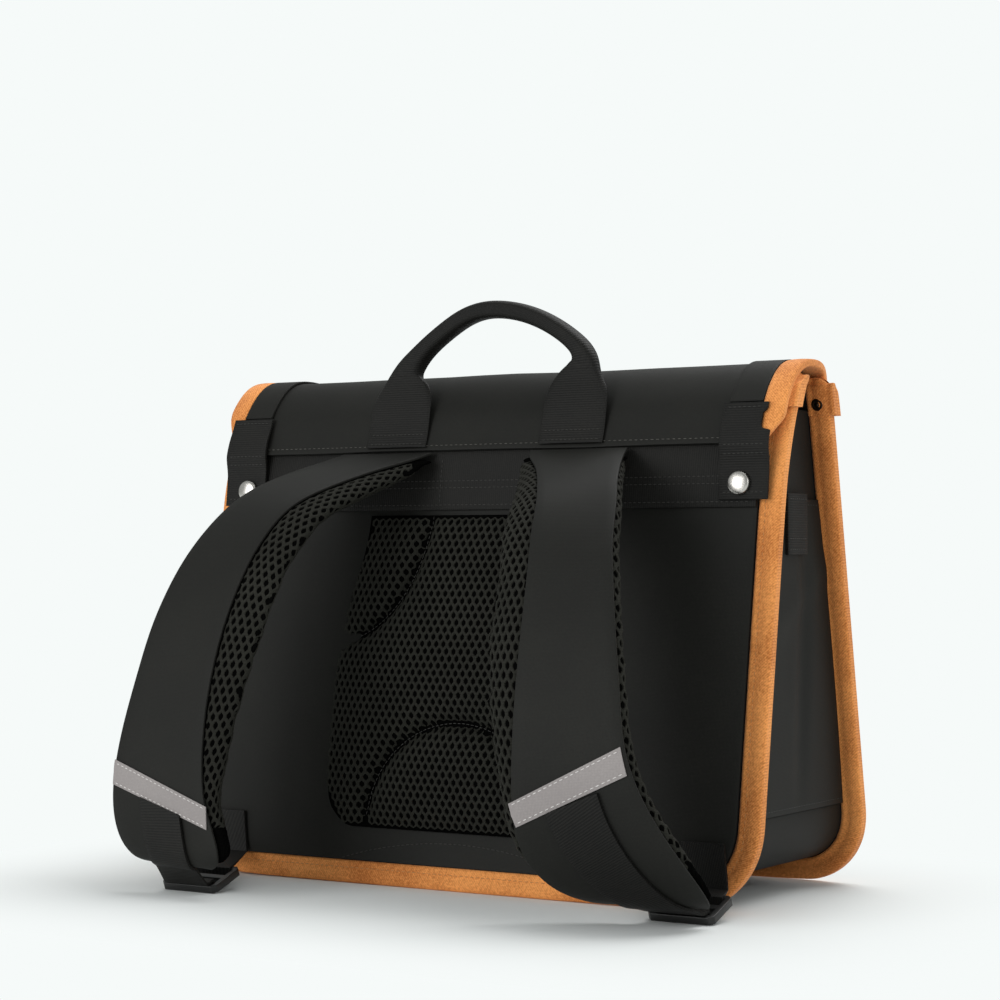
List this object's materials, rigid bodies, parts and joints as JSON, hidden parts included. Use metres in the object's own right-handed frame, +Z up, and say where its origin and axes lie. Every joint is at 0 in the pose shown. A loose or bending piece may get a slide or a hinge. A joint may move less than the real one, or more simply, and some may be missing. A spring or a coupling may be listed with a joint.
{
  "type": "school ransel",
  "caption": "Stiff satchel-style school backpack with bound panels, a flap over the top, a carry handle and padded shoulder straps.",
  "frame": {"origin": "on the floor, under the middle of the whole object's box", "axes": "+X is the wearer's right, -Y is the side that rests on the wearer's back, +Z is up"},
  "size_m": [0.386, 0.2598, 0.3404],
  "materials": {
    "cloth": "matte coated woven cloth",
    "air_mesh": "matte spacer mesh",
    "webbing": "ribbed webbing",
    "tan_tape": "woven binding tape",
    "reflective_tape": "satin reflective tape",
    "black_plastic": "moulded",
    "chrome_metal": "polished",
    "dark_metal": "dark plated"
  },
  "bodies": {
    "root": {"back_panel": "cloth", "front_panel": "cloth", "back_binding": "tan_tape", "front_binding": "tan_tape", "base_gusset": "cloth", "padded_cover": "cloth", "mesh_pad": "air_mesh", "yoke_band": "webbing", "flap": "cloth", "flap_binding": "tan_tape", "handle": "webbing", "side_gusset_left": "cloth", "side_gusset_right": "cloth", "side_pocket_left": "cloth", "side_pocket_right": "cloth", "side_tab_left": "webbing", "side_tab_right": "webbing", "back_corner_cap_left": "tan_tape", "back_corner_cap_right": "tan_tape", "front_corner_cap_left": "tan_tape", "front_corner_cap_right": "tan_tape", "corner_rivet_left": "dark_metal", "corner_rivet_right": "dark_metal", "flap_edge_left": "cloth", "flap_edge_right": "cloth", "corner_tab_left": "webbing", "corner_tab_right": "webbing", "snap_left": "chrome_metal", "snap_right": "chrome_metal", "strap_pad_left": "air_mesh", "strap_pad_right": "air_mesh", "strap_facing_left": "cloth", "strap_facing_right": "cloth", "reflector_left": "reflective_tape", "reflector_right": "reflective_tape", "strap_webbing_left": "webbing", "strap_webbing_right": "webbing", "adjuster_left": "black_plastic", "adjuster_right": "black_plastic", "anchor_tab_left": "webbing", "anchor_tab_right": "webbing", "closure_strip_left": "webbing", "closure_strip_right": "webbing", "closure_clasp_left": "black_plastic", "closure_clasp_right": "black_plastic"}
  },
  "joints": []
}
